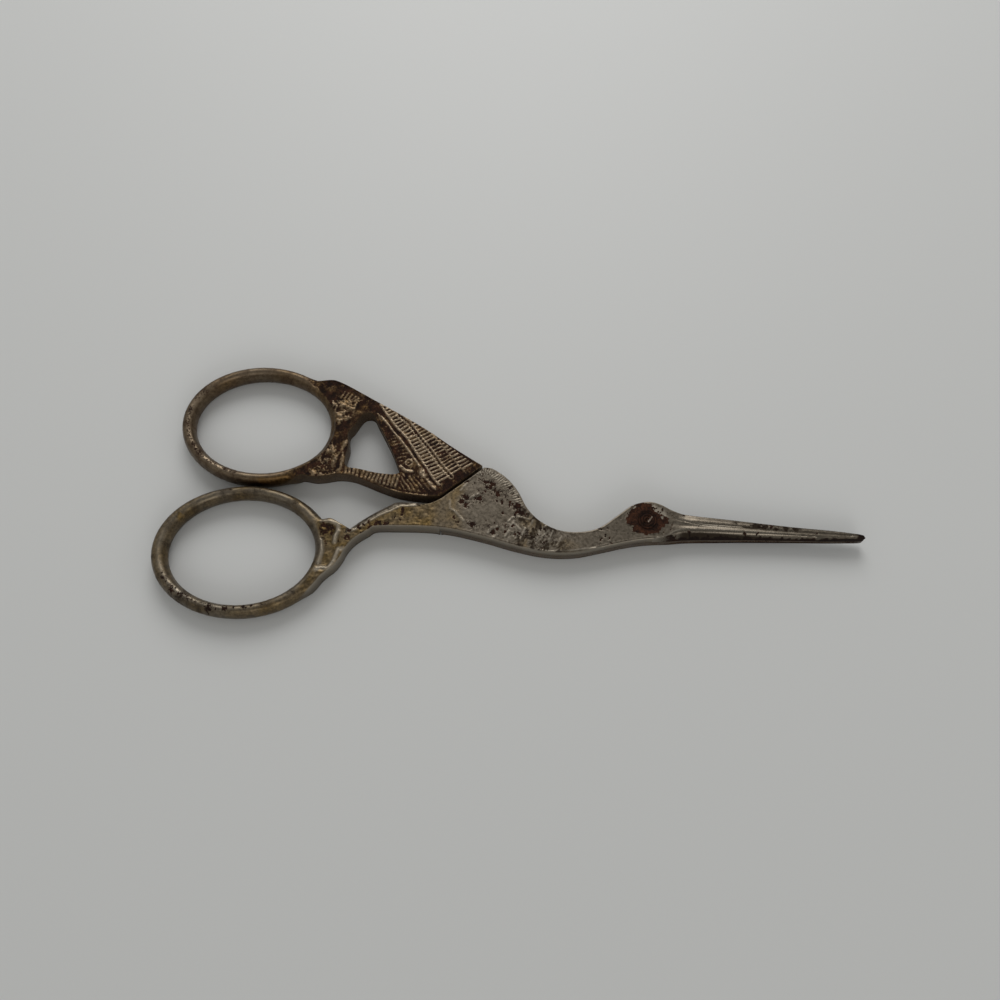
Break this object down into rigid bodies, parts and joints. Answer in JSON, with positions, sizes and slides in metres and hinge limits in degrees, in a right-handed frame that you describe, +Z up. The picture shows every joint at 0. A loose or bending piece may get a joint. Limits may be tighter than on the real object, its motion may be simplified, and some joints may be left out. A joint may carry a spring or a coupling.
{
  "type": "stork embroidery scissors",
  "caption": "Small needlework scissors shaped as a stork: bill blades, a round eye pivot, a feathered wing over one leg and an oval finger loop on each handle.",
  "frame": {"origin": "middle of the bounding box in plan, at the underside that the closed scissors lie on", "axes": "+X from the finger loops to the tip of the bill, +Y towards the winged half's loop, +Z up out of the face with the screw head"},
  "size_m": [0.1008, 0.0392, 0.0034],
  "materials": {
    "worn_nickel": "worn grey nickel over steel, with golden stains, dark pits and rust freckles",
    "rusted_nickel": "worn nickel with brown rust in the feather relief, polished on the ring wire",
    "rusted_screw": "dark brown rust, slightly polished at the slot"
  },
  "bodies": {
    "front": {"front_half": "worn_nickel"},
    "back": {"back_half": "rusted_nickel", "pivot_screw": "rusted_screw"}
  },
  "joints": [
    {"name": "blade_pivot", "type": "hinge", "parent": "front", "child": "back", "pos_m": [0.0194, -0.00062, 0.0016], "axis": [0, 0, -1], "range_deg": [0, 60]}
  ]
}
